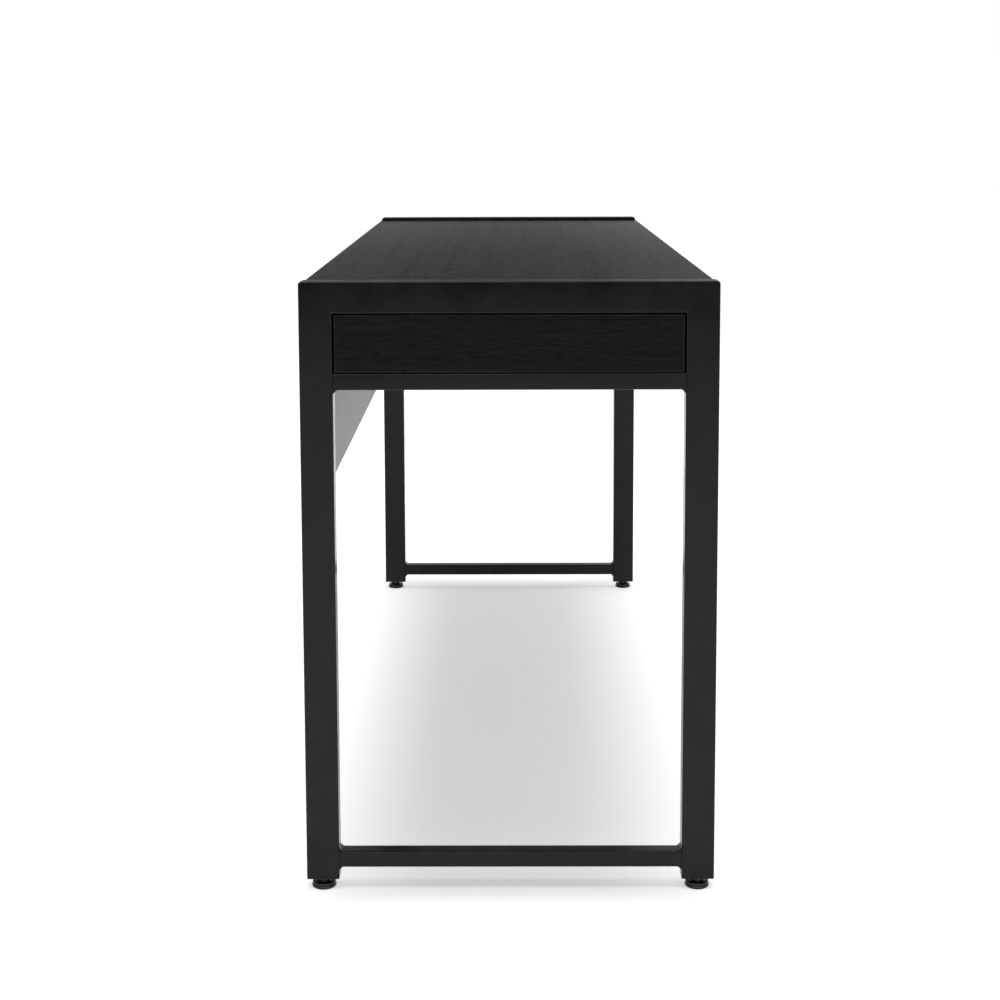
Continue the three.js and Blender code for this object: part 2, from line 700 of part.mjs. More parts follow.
for (const [end, side] of ends) {
  add(`${end}_joining_plate`, joiningPlate(side), zinc);
  add(`${end}_cross_rail`, crossRail(side), birch);
  add(`${end}_latch_body`, latchBody(side), greyPlastic);
  add(`${end}_latch_plunger`, plunger(side), greyPlastic);
  add(`${end}_drawer_front`, drawerFront(side), veneer);
  add(`${end}_drawer_back`, drawerBack(side), birch);
  add(`${end}_drawer_bottom`, drawerBottom(side), birch);
  for (const [face, row] of rows) {
    add(`${end}_drawer_${face}_side`, drawerSide(side, row), birch);
    add(`${end}_${face}_runner_cabinet_member`, cabinetMember(side, row), zinc);
    add(`${end}_${face}_runner_middle_member`, middleMember(side, row), zinc);
    add(`${end}_${face}_runner_drawer_member`, drawerMember(side, row), zinc);
  }
}

export default desk;
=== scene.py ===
# A black writing desk with a push-to-open drawer in each end, put together in Blender
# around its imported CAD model. Lengths are in metres: +X runs along the desk, -Y towards
# the seated user, +Z up.
import math

import bpy
import numpy as np
from mathutils import Matrix, Vector


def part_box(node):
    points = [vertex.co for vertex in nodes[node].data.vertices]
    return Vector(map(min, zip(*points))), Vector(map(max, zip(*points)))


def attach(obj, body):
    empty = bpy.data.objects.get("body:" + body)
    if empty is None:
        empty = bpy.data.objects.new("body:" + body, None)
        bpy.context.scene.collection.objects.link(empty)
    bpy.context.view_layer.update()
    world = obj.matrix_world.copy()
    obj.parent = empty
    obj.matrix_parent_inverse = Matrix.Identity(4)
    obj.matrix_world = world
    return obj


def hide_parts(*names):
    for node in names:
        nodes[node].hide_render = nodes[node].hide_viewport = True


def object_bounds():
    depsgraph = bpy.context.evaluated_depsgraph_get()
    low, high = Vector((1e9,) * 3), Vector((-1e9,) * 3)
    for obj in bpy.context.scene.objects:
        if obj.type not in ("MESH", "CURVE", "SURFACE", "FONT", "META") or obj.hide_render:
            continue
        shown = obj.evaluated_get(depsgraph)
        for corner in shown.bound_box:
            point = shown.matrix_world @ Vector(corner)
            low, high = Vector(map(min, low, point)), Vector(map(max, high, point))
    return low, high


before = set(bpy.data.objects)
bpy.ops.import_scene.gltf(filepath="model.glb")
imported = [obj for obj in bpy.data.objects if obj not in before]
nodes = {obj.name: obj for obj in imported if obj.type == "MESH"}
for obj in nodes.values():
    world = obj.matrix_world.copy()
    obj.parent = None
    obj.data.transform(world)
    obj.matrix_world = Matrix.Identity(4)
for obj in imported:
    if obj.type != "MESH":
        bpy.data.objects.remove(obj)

cad_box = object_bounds()
desk_low, desk_high = cad_box

# ---- Camera ----
# It stands off the left-hand end, a little above the top, and looks along the desk. The
# lens is moved down a little, which keeps the uprights close to upright.
END_TO_LENS = 2.0212
LENS_HEIGHT = 0.9362
LENS_SIDE = 0.0013
PITCH, YAW, ROLL = 0.11149, -0.00472, -0.00284  # radians: down, to the right, clockwise
FOCAL_LENGTH = 61.9  # millimetres, as is the film's width
FILM_WIDTH = 36
LENS_SHIFT = -0.185  # over the film's width

end_face_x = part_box("left_top_rail")[0].x
ahead = Vector(
    (
        math.cos(PITCH) * math.cos(YAW),
        -math.cos(PITCH) * math.sin(YAW),
        -math.sin(PITCH),
    )
)
level = ahead.cross(Vector((0, 0, 1))).normalized()
upward = level.cross(ahead)
across = level * math.cos(ROLL) + upward * math.sin(ROLL)
camera = bpy.data.objects.new("camera", bpy.data.cameras.new("camera"))
bpy.context.scene.collection.objects.link(camera)
turn = Matrix((across, across.cross(ahead), -ahead)).transposed()
camera.matrix_world = Matrix.Translation(
    (end_face_x - END_TO_LENS, LENS_SIDE, LENS_HEIGHT)
) @ turn.to_4x4()
camera.data.lens = FOCAL_LENGTH
camera.data.sensor_width = FILM_WIDTH
camera.data.shift_y = LENS_SHIFT
bpy.context.scene.camera = camera

# ---- Floor and studio light ----
# A pale seamless floor under one broad soft lamp, in a pale room. Both show white to the
# lens, and the floor keeps the lamp's shadow. Under the desk the floor's own glow is
# painted lower as well, a painted shadow over the real one. A black card behind the
# camera is what the desk's near end reflects above the floor.
FLOOR_HALF = 40.0
FLOOR_COLOUR = (0.8, 0.8, 0.8, 1)
# Painted shadow: the floor's glow is set lower under the desk than clear of it.
FLOOR_GLOW_IN_PAINTED_SHADOW = 0.365  # the floor's own glow, as it is seen, under the desk
FLOOR_WHITE = 0.62  # and clear of the desk
# The painted shadow under the desk fades out between these distances.
PAINTED_SHADOW_FADE_ACROSS = (0.08, 0.33)  # the glow rises between these distances from the middle
PAINTED_SHADOW_FADE_ALONG = (0.695, 0.765)
ROOM_LIGHT = 0.5  # what the room itself lights the desk with
# Reflections show the room like this. Heights are sines of the angle above the floor.
HORIZON = (0.0, 0.081)  # its white fades to a dim band
WALL_FOOT = (0.1, 0.25)  # the band brightens to the wall
WALL_TOP = (0.32, 0.5)  # the wall fades to the dim ceiling
ZENITH = (0.6, 0.9)  # the ceiling brightens overhead
HORIZON_GLOW = 0.62
BAND_GLOW = 0.092
WALL_GLOW = 0.5
CEILING_GLOW = 0.12
ZENITH_GLOW = 1.0
SIDE_GLOW = (1.5, 0.6)  # how much brighter the wall is in front of the desk, and behind
SIDE_REACH = 0.2
HORIZON_TINT = (1.0, 0.88, 0.72, 1)
TINT_REACH = (0.03, 0.066)  # the tint low on the far wall fades
SOFT_BOX_GLOW = 3.1  # high behind the camera
SOFT_BOX_FOOT = (0.5, 0.62)
SOFT_BOX_HEAD = (0.86, 0.95)
SOFT_BOX_SIDE = (-0.25, -0.4)  # along X
LAMP_PLACE = (-0.25, -0.12, 5.0)
LAMP_SIZE = 3.2
LAMP_POWER = 145.0
CARD_X = -7.8
CARD_HALF = 9.0
CARD_HEIGHT = 2.6


def linked(tree, source, target):
    tree.links.new(source, target)


def shader_tree(owner):
    """The owner's node tree, emptied."""
    owner.use_nodes = True
    owner.node_tree.nodes.clear()
    return owner.node_tree


def maths(tree, operation, *values):
    """One Math node. Each value is a number or an output socket."""
    node = tree.nodes.new("ShaderNodeMath")
    node.operation = operation
    for socket, value in zip(node.inputs, values):
        if isinstance(value, (int, float)):
            socket.default_value = value
        else:
            linked(tree, value, socket)
    return node.outputs[0]


def remap(tree, value, low, high, to_low=0.0, to_high=1.0, smooth=False):
    """value from low..high to to_low..to_high, held at the ends."""
    node = tree.nodes.new("ShaderNodeMapRange")
    node.interpolation_type = "SMOOTHSTEP" if smooth else "LINEAR"
    linked(tree, value, node.inputs["Value"])
    for name, number in (
        ("From Min", low),
        ("From Max", high),
        ("To Min", to_low),
        ("To Max", to_high),
    ):
        node.inputs[name].default_value = number
    return node.outputs["Result"]


def blended(tree, factor, first, second):
    """The colour first where factor is 0 and second where it is 1."""
    node = tree.nodes.new("ShaderNodeMix")
    node.data_type = "RGBA"
    sockets = [s for s in node.inputs if s.type == "RGBA"]
    factor_socket = next(s for s in node.inputs if s.type == "VALUE")
    linked(tree, factor, factor_socket)
    for socket, value in zip(sockets, (first, second)):
        if isinstance(value, tuple):
            socket.default_value = value
        else:
            linked(tree, value, socket)
    return next(s for s in node.outputs if s.type == "RGBA")


def coordinates(tree):
    """The outputs of a Texture Coordinate node."""
    return tree.nodes.new("ShaderNodeTexCoord").outputs


def split(tree, vector):
    """The X, Y and Z outputs of a vector."""
    node = tree.nodes.new("ShaderNodeSeparateXYZ")
    linked(tree, vector, node.inputs[0])
    return node.outputs


def seen_or_reflected(tree):
    """1 for camera, glossy and transmission rays, 0 for the rays that light things."""
    path = tree.nodes.new("ShaderNodeLightPath").outputs
    either = maths(tree, "MAXIMUM", path["Is Camera Ray"], path["Is Glossy Ray"])
    return maths(tree, "MAXIMUM", either, path["Is Transmission Ray"])


def plain_paint(name, colour):
    """A plain diffuse material: (material, tree, shader node, output node)."""
    material = bpy.data.materials.new(name)
    tree = shader_tree(material)
    output = tree.nodes.new("ShaderNodeOutputMaterial")
    paint = tree.nodes.new("ShaderNodeBsdfDiffuse")
    paint.inputs["Color"].default_value = colour
    linked(tree, paint.outputs["BSDF"], output.inputs["Surface"])
    return material, tree, paint, output


def sheet_in_room(name, points, material):
    """A flat four-cornered stage sheet in one material."""
    mesh = bpy.data.meshes.new(name)
    mesh.from_pydata(points.tolist(), [], [(0, 1, 2, 3)])
    piece = bpy.data.objects.new(name, mesh)
    scene.collection.objects.link(piece)
    mesh.materials.append(material)
    return piece


scene = bpy.context.scene
scene.view_settings.view_transform = "Standard"
scene.world = bpy.data.worlds.new("room")
room = shader_tree(scene.world)
room_output = room.nodes.new("ShaderNodeOutputWorld")
room_glow = room.nodes.new("ShaderNodeBackground")
direction = split(room, coordinates(room)["Generated"])
height, sideways = direction["Z"], direction["Y"]
walls = maths(
    room,
    "MAXIMUM",
    remap(room, height, *HORIZON, HORIZON_GLOW, BAND_GLOW, smooth=True),
    remap(room, height, *WALL_FOOT, BAND_GLOW, WALL_GLOW, smooth=True),
)
top_fade = remap(room, height, *WALL_TOP, 1.0, CEILING_GLOW / WALL_GLOW, smooth=True)
walls = maths(room, "MULTIPLY", walls, top_fade)
for reach, glow in zip((-SIDE_REACH, SIDE_REACH), SIDE_GLOW):
    brighter = remap(room, sideways, 0, reach, 1.0, 1.0 + glow, smooth=True)
    walls = maths(room, "MULTIPLY", walls, brighter)
zenith = remap(room, height, *ZENITH, 0.0, ZENITH_GLOW, smooth=True)
walls = maths(room, "MAXIMUM", walls, zenith)
soft_box = maths(
    room,
    "MULTIPLY",
    remap(room, height, *SOFT_BOX_FOOT, smooth=True),
    remap(room, height, *SOFT_BOX_HEAD, 1.0, 0.0, smooth=True),
)
behind = remap(room, direction["X"], *SOFT_BOX_SIDE, 0.0, SOFT_BOX_GLOW, smooth=True)
walls = maths(room, "MAXIMUM", walls, maths(room, "MULTIPLY", soft_box, behind))
lens = room.nodes.new("ShaderNodeLightPath").outputs["Is Camera Ray"]
shown = maths(room, "MAXIMUM", lens, walls)
untinted = maths(room, "MAXIMUM", lens, remap(room, height, *TINT_REACH, smooth=True))
tint = blended(room, untinted, HORIZON_TINT, (1, 1, 1, 1))
linked(room, tint, room_glow.inputs["Color"])
reflected = seen_or_reflected(room)
strength = maths(
    room,
    "ADD",
    maths(room, "MULTIPLY", reflected, shown),
    remap(room, reflected, 0, 1, ROOM_LIGHT, 0.0),
)
linked(room, strength, room_glow.inputs["Strength"])
linked(room, room_glow.outputs["Background"], room_output.inputs["Surface"])

floor_paint, tree, paint, output = plain_paint("studio_floor", FLOOR_COLOUR)
place = split(tree, coordinates(tree)["Object"])
along, sideways = (maths(tree, "ABSOLUTE", place[axis]) for axis in "XY")
# Painted shadow: the floor glows less under the desk and more clear of it.
clear = maths(
    tree,
    "MAXIMUM",
    remap(tree, along, *PAINTED_SHADOW_FADE_ALONG, smooth=True),
    remap(tree, sideways, *PAINTED_SHADOW_FADE_ACROSS, smooth=True),
)
floor_glow_and_painted_shadow = tree.nodes.new("ShaderNodeEmission")
glow = remap(tree, clear, 0, 1, FLOOR_GLOW_IN_PAINTED_SHADOW, FLOOR_WHITE)
strength = maths(tree, "MULTIPLY", seen_or_reflected(tree), glow)
linked(tree, strength, floor_glow_and_painted_shadow.inputs["Strength"])
both = tree.nodes.new("ShaderNodeAddShader")
linked(tree, paint.outputs["BSDF"], both.inputs[0])
linked(tree, floor_glow_and_painted_shadow.outputs["Emission"], both.inputs[1])
linked(tree, both.outputs["Shader"], output.inputs["Surface"])
SQUARE = np.array([(-1, -1), (1, -1), (1, 1), (-1, 1)], float)
floor_points = np.column_stack((SQUARE * FLOOR_HALF, np.full(4, desk_low.z)))
sheet_in_room("floor", floor_points, floor_paint)

black_card = plain_paint("black_card", (0, 0, 0, 1))[0]
card_heights = (SQUARE[:, 1] + 1) / 2 * CARD_HEIGHT
card_sides = SQUARE[:, 0] * CARD_HALF
card_points = np.column_stack((np.full(4, CARD_X), card_sides, card_heights))
card = sheet_in_room("card", card_points, black_card)
card.visible_camera = card.visible_diffuse = card.visible_shadow = False

light = bpy.data.lights.new("over_lamp", "AREA")
light.shape = "SQUARE"
light.size = LAMP_SIZE
light.energy = LAMP_POWER
lamp = bpy.data.objects.new("over_lamp", light)
from_desk = Vector(LAMP_PLACE) - (desk_low + desk_high) / 2
turn = from_desk.to_track_quat("Z", "Y").to_matrix()
lamp.matrix_world = Matrix.Translation(LAMP_PLACE) @ turn.to_4x4()
lamp.visible_glossy = False
scene.collection.objects.link(lamp)

# ---- Welded steel end frames and long rails ----
# Rectangular steel tube, mitred at the top corners, ground flush and stoved in fine matt
# black powder. The thin drawer rail and foot rail are fillet-welded between the legs.
ENDS = {"left": -1, "right": 1}
ROWS = {"front": -1, "back": 1}
PATCHES = (0.38, 0.62)  # of a noise, where wear goes from none to full
EDGE_FACING = (0.985, 0.87)  # cosines of a normal's turn at an edge, none to full wear
CORNER_FACING = (0.98, 0.8)  # and those of a rounded corner's turn from the nearest axis
CLOUD_RANGE = (0.28, 0.72)
POWDER_COLOURS = ((0.0008, 0.0008, 0.0008, 1), (0.0072, 0.0072, 0.0072, 1))
POWDER_EDGE_COLOUR = (0.03, 0.03, 0.031, 1)
POWDER_WEAR = 0.35
POWDER_GLOSS = (0.16, 0.24)  # roughness, here and below
POWDER_SHINE = 0.232  # specular level, here and below
POWDER_DEPTH = 0.000016  # of its small lumps
RIM = (0.0008, 0.0002)  # between these depths sleeves have rubbed the frames' rims
RIM_POLISH = 0.12  # and taken this off the roughness
SHARPEST_BEND = math.radians(50)
SAME_POINT = 0.00001


def new_group(name, inputs, outputs):
    """A shader node group: (group, what it is given, what it gives). inputs maps a name
    to (type, default), and outputs maps a name to its type."""
    group = bpy.data.node_groups.new(name, "ShaderNodeTree")
    for socket, (kind, value) in inputs.items():
        made = group.interface.new_socket(socket, in_out="INPUT", socket_type=kind)
        if value is not None:
            made.default_value = value
    for socket, kind in outputs.items():
        group.interface.new_socket(socket, in_out="OUTPUT", socket_type=kind)
    given = group.nodes.new("NodeGroupInput").outputs
    return group, given, group.nodes.new("NodeGroupOutput").inputs


FLOAT, VECTOR = "NodeSocketFloat", "NodeSocketVector"


def stretched(tree, vector, scale, turn=(0, 0, 0)):
    """Coordinates scaled axis by axis, after a turn in radians."""
    node = tree.nodes.new("ShaderNodeMapping")
    linked(tree, vector, node.inputs["Vector"])
    node.inputs["Scale"].default_value = scale
    node.inputs["Rotation"].default_value = turn
    return node.outputs["Vector"]


def noise(tree, vector, scale, detail=2.0, roughness=0.5, distortion=0.0):
    """Fractal noise from 0 to 1 with about scale lumps to the metre."""
    node = tree.nodes.new("ShaderNodeTexNoise")
    linked(tree, vector, node.inputs["Vector"])
    for name, value in (
        ("Scale", scale),
        ("Detail", detail),
        ("Roughness", roughness),
        ("Distortion", distortion),
    ):
        if isinstance(value, (int, float)):
            node.inputs[name].default_value = value
        else:
            linked(tree, value, node.inputs[name])
    return node.outputs["Fac"]


# Edge wear and painted highlight: Normal is rounded over Radius at every edge, and
# Mask is 1 on the edges, broken up by noise so that it looks handled, but nowhere below
# Evenness. Where Evenness is set, the mask lays the edge colour evenly along the edges
# as a painted highlight.
edge_wear_and_highlight, given, result = new_group(
    "edge_wear_and_highlight",
    {"Radius": (FLOAT, 0.001), "Breakup": (FLOAT, 60.0), "Evenness": (FLOAT, 0.0)},
    {"Mask": FLOAT, "Normal": VECTOR},
)
rounded = edge_wear_and_highlight.nodes.new("ShaderNodeBevel")
rounded.samples = 6
linked(edge_wear_and_highlight, given["Radius"], rounded.inputs["Radius"])
geometry = edge_wear_and_highlight.nodes.new("ShaderNodeNewGeometry")
facing = edge_wear_and_highlight.nodes.new("ShaderNodeVectorMath")
facing.operation = "DOT_PRODUCT"
linked(edge_wear_and_highlight, rounded.outputs["Normal"], facing.inputs[0])
linked(edge_wear_and_highlight, geometry.outputs["Normal"], facing.inputs[1])
edge = remap(edge_wear_and_highlight, facing.outputs["Value"], *EDGE_FACING)
patches = noise(edge_wear_and_highlight, coordinates(edge_wear_and_highlight)["Object"], given["Breakup"], 4.0, 0.6)
patches = remap(edge_wear_and_highlight, patches, *PATCHES)
# Evenness raises the mask everywhere on the edges: a painted highlight where it is set.
patches = maths(edge_wear_and_highlight, "MAXIMUM", patches, given["Evenness"])
linked(edge_wear_and_highlight, maths(edge_wear_and_highlight, "MULTIPLY", edge, patches), result["Mask"])
linked(edge_wear_and_highlight, rounded.outputs["Normal"], result["Normal"])

# Corner wear: Mask is 1 on the rounded corners, where the surface squarely faces none of
# the three axes, broken up in the same way.
corner_wear, given, result = new_group(
    "corner_wear", {"Breakup": (FLOAT, 90.0)}, {"Mask": FLOAT}
)
place = coordinates(corner_wear)
parts = split(corner_wear, place["Normal"])
sizes = [maths(corner_wear, "ABSOLUTE", parts[axis]) for axis in "XYZ"]
largest = maths(corner_wear, "MAXIMUM", *sizes[:2])
largest = maths(corner_wear, "MAXIMUM", largest, sizes[2])
corner = remap(corner_wear, largest, *CORNER_FACING)
patches = noise(corner_wear, place["Object"], given["Breakup"], 4.0, 0.6)
patches = remap(corner_wear, patches, *PATCHES)
linked(corner_wear, maths(corner_wear, "MULTIPLY", corner, patches), result["Mask"])

# Fine texture: the small lumps of stoved powder or of a moulding, Lumps to the metre,
# with slow Clouds that change the colour and gloss a little from place to place.
fine_texture, given, result = new_group(
    "fine_texture",
    {"Lumps": (FLOAT, 900.0), "Cloud Scale": (FLOAT, 6.0)},
    {"Height": FLOAT, "Clouds": FLOAT},
)
place = coordinates(fine_texture)["Object"]
lumps = noise(fine_texture, place, given["Lumps"], 2.0, 0.55)
clouds = noise(fine_texture, place, given["Cloud Scale"], 3.0, 0.55, 0.4)
clouds = remap(fine_texture, clouds, *CLOUD_RANGE, smooth=True)
linked(fine_texture, lumps, result["Height"])
linked(fine_texture, clouds, result["Clouds"])


def placed(tree, group, **values):
    """The group's outputs in this tree, with its own values. Underscores are spaces."""
    node = tree.nodes.new("ShaderNodeGroup")
    node.node_tree = group
    for name, value in values.items():
        socket = node.inputs[name.replace("_", " ")]
        if isinstance(value, (int, float, tuple)):
            socket.default_value = value
        else:
            linked(tree, value, socket)
    return node.outputs


def principled(name):
    """A new material with a Principled shader: (material, tree, the shader's inputs)."""
    material = bpy.data.materials.new(name)
    tree = shader_tree(material)
    shader = tree.nodes.new("ShaderNodeBsdfPrincipled")
    output = tree.nodes.new("ShaderNodeOutputMaterial")
    linked(tree, shader.outputs["BSDF"], output.inputs["Surface"])
    return material, tree, shader.inputs


def worn(tree, wear, strength, colour, edge_colour):
    """The colour, with the edge colour at this strength where the wear's Mask is 1."""
    share = maths(tree, "MULTIPLY", wear["Mask"], strength)
    return blended(tree, share, colour, edge_colour)


def surfaced(tree, surface, colour, gloss, texture, depth, normal=None):
    """Gives a shader its colour, its roughness and the normal of a texture this deep,
    which starts from the given normal."""
    bump = tree.nodes.new("ShaderNodeBump")
    bump.inputs["Distance"].default_value = depth
    bump.inputs["Strength"].default_value = 1.0
    linked(tree, texture, bump.inputs["Height"])
    if normal is not None:
        linked(tree, normal, bump.inputs["Normal"])
    linked(tree, colour, surface["Base Color"])
    linked(tree, gloss, surface["Roughness"])
    linked(tree, bump.outputs["Normal"], surface["Normal"])


def coat_nodes(material, names):
    """Puts the material on CAD nodes."""
    for name in names:
        for slot in nodes[name].material_slots:
            slot.material = material


def shade_round(names):
    """Shades the rounded corners of CAD nodes smoothly and leaves their flats flat."""
    for name in names:
        piece = nodes[name]
        smooth = np.ones(len(piece.data.polygons), bool)
        piece.data.polygons.foreach_set("use_smooth", smooth)
        piece.modifiers.new("weld", "WELD").merge_threshold = SAME_POINT
        piece.modifiers.new("split", "EDGE_SPLIT").split_angle = SHARPEST_BEND
        piece.modifiers.new("normals", "WEIGHTED_NORMAL").weight = 100


powder, tree, surface = principled("matt_powder")
wear = placed(tree, corner_wear, Breakup=90.0)
texture = placed(tree, fine_texture, Lumps=1100.0, Cloud_Scale=26.0)
stoved = blended(tree, texture["Clouds"], *POWDER_COLOURS)
height = split(tree, coordinates(tree)["Object"])["Z"]
rubbed = remap(tree, height, *(desk_high.z - depth for depth in RIM), 0.0, RIM_POLISH)
gloss = remap(tree, texture["Clouds"], 0, 1, *POWDER_GLOSS)
surfaced(
    tree,
    surface,
    worn(tree, wear, POWDER_WEAR, stoved, POWDER_EDGE_COLOUR),
    maths(tree, "SUBTRACT", gloss, rubbed),
    texture["Height"],
    POWDER_DEPTH,
)
surface["Specular IOR Level"].default_value = POWDER_SHINE
STEEL_PARTS = [
    f"{end}_{part}" for end in ENDS for part in ("top_rail", "drawer_rail", "foot_rail")
]
STEEL_PARTS += [f"{end}_{row}_leg" for end in ENDS for row in ROWS]
STEEL_PARTS += [f"{row}_{part}" for row in ROWS for part in ("lower_rail", "upper_rail")]
coat_nodes(powder, STEEL_PARTS)
shade_round(STEEL_PARTS)

# ---- Glides ----
# Moulded black nylon: a two-step round foot, a hexagonal collar for a spanner, and a
# threaded stem that screws up into the plug in the end of its leg.
NYLON_COLOUR = (0.006, 0.006, 0.0063, 1)
NYLON_EDGE_COLOUR = (0.03, 0.03, 0.03, 1)
NYLON_EDGE = (0.0005, 300.0, 0.4)  # radius, breakup and strength of the wear
NYLON_TEXTURE = (1800.0, 60.0, 0.00002)  # lumps and clouds to the metre, lumps' depth
NYLON_GLOSS = (0.2, 0.28)
NYLON_SHINE = 0.45
GLIDE_TURN_STEPS = 96
FOOT_HOLLOW = ((0, 0.0006), (0.009, 0.0006), (0.0098, 0.0))  # radius and height
LOWER_STEP = (0.0150, 0.0, 0.0038, 0.0016)  # radius, underside, top, rounding
UPPER_STEP = (0.0142, 0.0041, 0.0070, 0.0011)
STEP_GROOVE = ((0.0136, 0.00385), (0.0136, 0.00405))
COLLAR_CORNER = 0.0090  # radius over the corners of the hexagon
COLLAR_CHAMFER = 0.0009
COLLAR_SEAT = UPPER_STEP[2] + 0.0001
STEM_RADIUS = 0.0040
THREAD_PITCH = 0.00125
THREAD_DEPTH = 0.00055
STEPS_PER_PITCH = 6
LEG_GAP = 0.0003  # from the collar's top to the leg's end


def textured(name, edge, texture, colours, edge_colour, gloss):
    """A material with edge wear, (radius, breakup, strength), and a fine texture, (lumps
    and clouds to the metre, depth of the lumps). The texture's clouds blend the two
    colours and the two roughnesses."""
    material, tree, surface = principled(name)
    radius, breakup, strength = edge
    lumps, clouds, depth = texture
    wear = placed(tree, edge_wear_and_highlight, Radius=radius, Breakup=breakup)
    texture = placed(tree, fine_texture, Lumps=lumps, Cloud_Scale=clouds)
    colour = blended(tree, texture["Clouds"], *colours)
    surfaced(
        tree,
        surface,
        worn(tree, wear, strength, colour, edge_colour),
        remap(tree, texture["Clouds"], 0, 1, *gloss),
        texture["Height"],
        depth,
        wear["Normal"],
    )
    return material, surface


def mesh_piece(name, points, faces, material):
    """A smooth piece from arrays of points and of faces."""
    mesh = bpy.data.meshes.new(name)
    mesh.from_pydata(points.reshape(-1, 3).tolist(), [], faces.tolist())
    mesh.polygons.foreach_set("use_smooth", np.ones(len(faces), bool))
    mesh.materials.append(material)
    mesh.update()
    piece = bpy.data.objects.new(name, mesh)
    scene.collection.objects.link(piece)
    return piece


def grid_faces(rows, columns):
    """The four-cornered faces of a grid of rows by columns, whose columns wrap round."""
    row, column = np.meshgrid(np.arange(rows - 1), np.arange(columns), indexing="ij")
    here, after = row * columns + column, row * columns + (column + 1) % columns
    corners = (here, after, after + columns, here + columns)
    return np.stack(corners, axis=-1).reshape(-1, 4)


def rounded_step(radius, low, high, rounding, steps=7):
    """Rows (radius, height) up a disc's rim, whose two edges quarter circles round."""
    turn = np.linspace(0, np.pi / 2, steps)
    rise, reach = rounding * (1 - np.cos(turn)), rounding * (1 - np.sin(turn))
    lower = np.column_stack((radius - reach, low + rise))
    upper = np.column_stack((radius - reach, high - rise))[::-1]
    return np.vstack((lower, upper))


def hexagon(angles, corner):
    """Distance from the middle to the side of a hexagon at each angle: the half width
    across flats over the cosine of the angle from the nearest flat."""
    from_flat = np.mod(angles, np.pi / 3) - np.pi / 6
    return corner * math.cos(np.pi / 6) / np.cos(from_flat)


def glide_surface(collar_top, stem_top):
    """Points of a glide standing at the origin, a row for each height and a column for
    each angle. In the thread the radius drops by the depth times a triangle wave of
    height over pitch less angle over a full turn."""
    angles = np.linspace(0, 2 * np.pi, GLIDE_TURN_STEPS, endpoint=False)
    foot = np.vstack(
        (
            FOOT_HOLLOW,
            rounded_step(*LOWER_STEP),
            STEP_GROOVE,
            rounded_step(*UPPER_STEP),
            [(FOOT_HOLLOW[2][0], UPPER_STEP[2]), (COLLAR_CORNER + 0.0002, COLLAR_SEAT)],
        )
    )

    chamfer_rise = np.linspace(-1.4, 0, 8) * COLLAR_CHAMFER + collar_top
    collar_rise = np.array([COLLAR_SEAT, *chamfer_rise])
    past_chamfer = np.clip(collar_rise - collar_top + COLLAR_CHAMFER, 0, None)
    round_reach = (COLLAR_CORNER - past_chamfer)[:, None]
    collar = np.minimum(hexagon(angles, COLLAR_CORNER), round_reach)

    turns = (stem_top - collar_top) / THREAD_PITCH
    stem_rise = np.linspace(collar_top, stem_top, int(turns * STEPS_PER_PITCH))
    phase = np.mod(stem_rise[:, None] / THREAD_PITCH - angles / (2 * np.pi), 1)
    wave = np.abs(2 * phase - 1)
    fade = np.clip((stem_top - stem_rise) / THREAD_PITCH, 0, 1)[:, None]
    stem = STEM_RADIUS - THREAD_DEPTH * (1 - fade * (1 - wave))

    foot_radii = np.repeat(foot[:, :1], GLIDE_TURN_STEPS, axis=1)
    radii = np.vstack((foot_radii, collar, stem, np.zeros_like(angles)))
    rise = np.concatenate((foot[:, 1], collar_rise, stem_rise, stem_rise[-1:]))
    heights = np.repeat(rise[:, None], GLIDE_TURN_STEPS, axis=1)
    return np.stack((radii * np.cos(angles), radii * np.sin(angles), heights), axis=-1)


nylon, surface = textured(
    "moulded_nylon",
    NYLON_EDGE,
    NYLON_TEXTURE,
    (NYLON_COLOUR, NYLON_COLOUR),
    NYLON_EDGE_COLOUR,
    NYLON_GLOSS,
)
surface["Specular IOR Level"].default_value = NYLON_SHINE
coat_nodes(nylon, [f"{end}_{row}_leg_insert" for end in ENDS for row in ROWS])
for end in ENDS:
    for row in ROWS:
        low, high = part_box(f"{end}_{row}_glide")
        leg_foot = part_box(f"{end}_{row}_leg")[0].z
        points = glide_surface(leg_foot - low.z - LEG_GAP, high.z - low.z)
        points += np.array(((low.x + high.x) / 2, (low.y + high.y) / 2, low.z))
        faces = grid_faces(*points.shape[:2])
        piece = mesh_piece(f"{end}_{row}_glide_turned", points, faces, nylon)
        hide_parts(f"{end}_{row}_glide")
        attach(piece, f"{end}_{row}_glide")

# ---- Black oak: the top, the aprons and the drawer fronts ----
# Boards faced in oak veneer with its pores open, stained black and given a satin lacquer,
# which is thin over the pores. The grain runs along each board. The drawer fronts carry a
# painted highlight: their edges are painted lighter all round, with wear patches over it.
TOP_STAIN = ((0.0006, 0.0006, 0.0006, 1), (0.0183, 0.0184, 0.0186, 1))
FRONT_STAIN = ((0.0002, 0.0002, 0.0002, 1), (0.0142, 0.013, 0.0102, 1))
TOP_GLOSS = (0.0, 0.58, 0.5)  # specular level, coat weight, roughness
FRONT_GLOSS = (0.11, 0.0, 0.2)
TOP_EDGE = (0.0008, 0.0, 0.6)  # radius, evenness and strength of the wear
